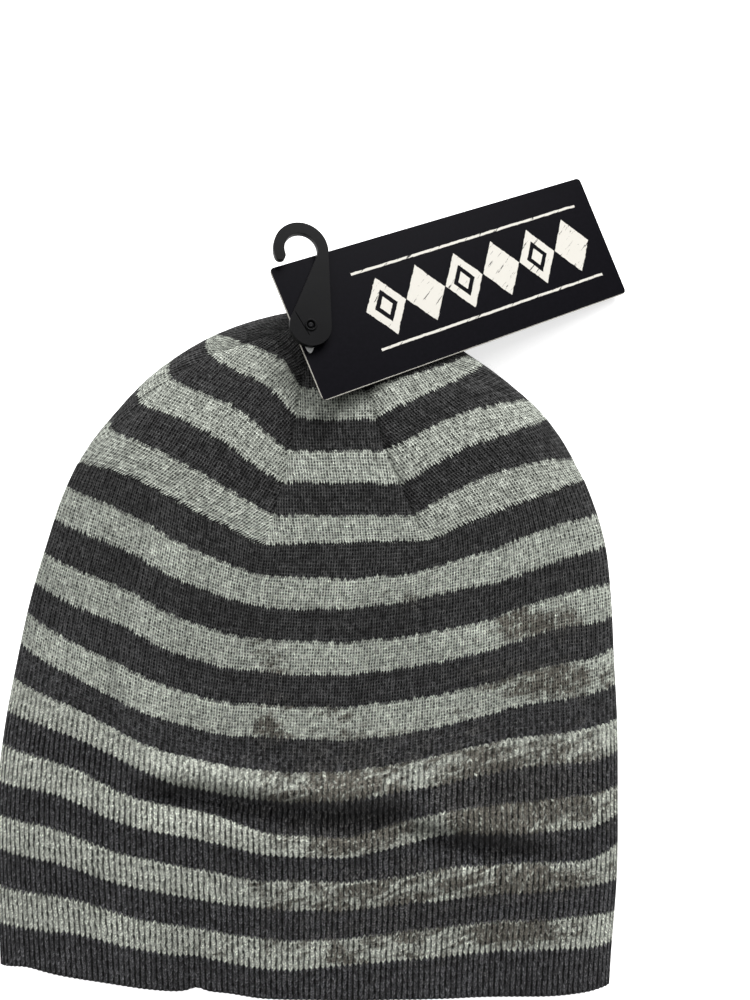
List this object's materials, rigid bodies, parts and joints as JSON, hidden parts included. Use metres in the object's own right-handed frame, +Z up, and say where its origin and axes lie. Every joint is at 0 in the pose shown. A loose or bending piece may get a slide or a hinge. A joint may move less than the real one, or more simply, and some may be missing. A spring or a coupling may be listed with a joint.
{
  "type": "knit beanie",
  "caption": "Striped knit beanie without a cuff, lying flat, with a card hang tag and a J-hook hanger pinned through its crown.",
  "frame": {"origin": "on the flat underside, below the middle of the hat as it lies flat", "axes": "+X across the hat, +Y from the hem towards the crown, +Z up from the surface it lies on"},
  "size_m": [0.2216, 0.2845, 0.0426],
  "materials": {
    "knit": "acrylic 1x1 rib knit in charcoal and sage grey stripes, matt",
    "seam_thread": "overlocked charcoal yarn, matt",
    "label": "plain woven satin, blank",
    "tag_card": "black printed card, satin, with pale cut edges",
    "hanger_plastic": "moulded, fine satin",
    "clear_plastic": "clear, glossy"
  },
  "bodies": {
    "hat": {"body_tube": "knit", "gore_front": "knit", "gore_front_left": "knit", "gore_back_left": "knit", "gore_back": "knit", "gore_back_right": "knit", "gore_front_right": "knit", "dart_seam_front_left": "seam_thread", "dart_seam_front_right": "seam_thread", "dart_seam_side_left": "seam_thread", "dart_seam_side_right": "seam_thread", "dart_seam_back_left": "seam_thread", "dart_seam_back_right": "seam_thread", "back_seam": "seam_thread", "crown_tack": "seam_thread", "care_label": "label", "hanger_pin": "hanger_plastic"},
    "tag": {"hang_tag_card": "tag_card"},
    "hook": {"hook_hanger": "hanger_plastic", "clear_washer": "clear_plastic"}
  },
  "joints": [
    {"name": "tag_swing", "type": "hinge", "parent": "hat", "child": "tag", "pos_m": [0.00225, 0.10857, 0.03757], "axis": [0.2736, 0.1123, 0.9553], "range_deg": [-3, 120]},
    {"name": "hook_turn", "type": "hinge", "parent": "hat", "child": "hook", "pos_m": [0.00225, 0.10857, 0.03757], "axis": [0.2736, 0.1123, 0.9553], "continuous": true}
  ]
}
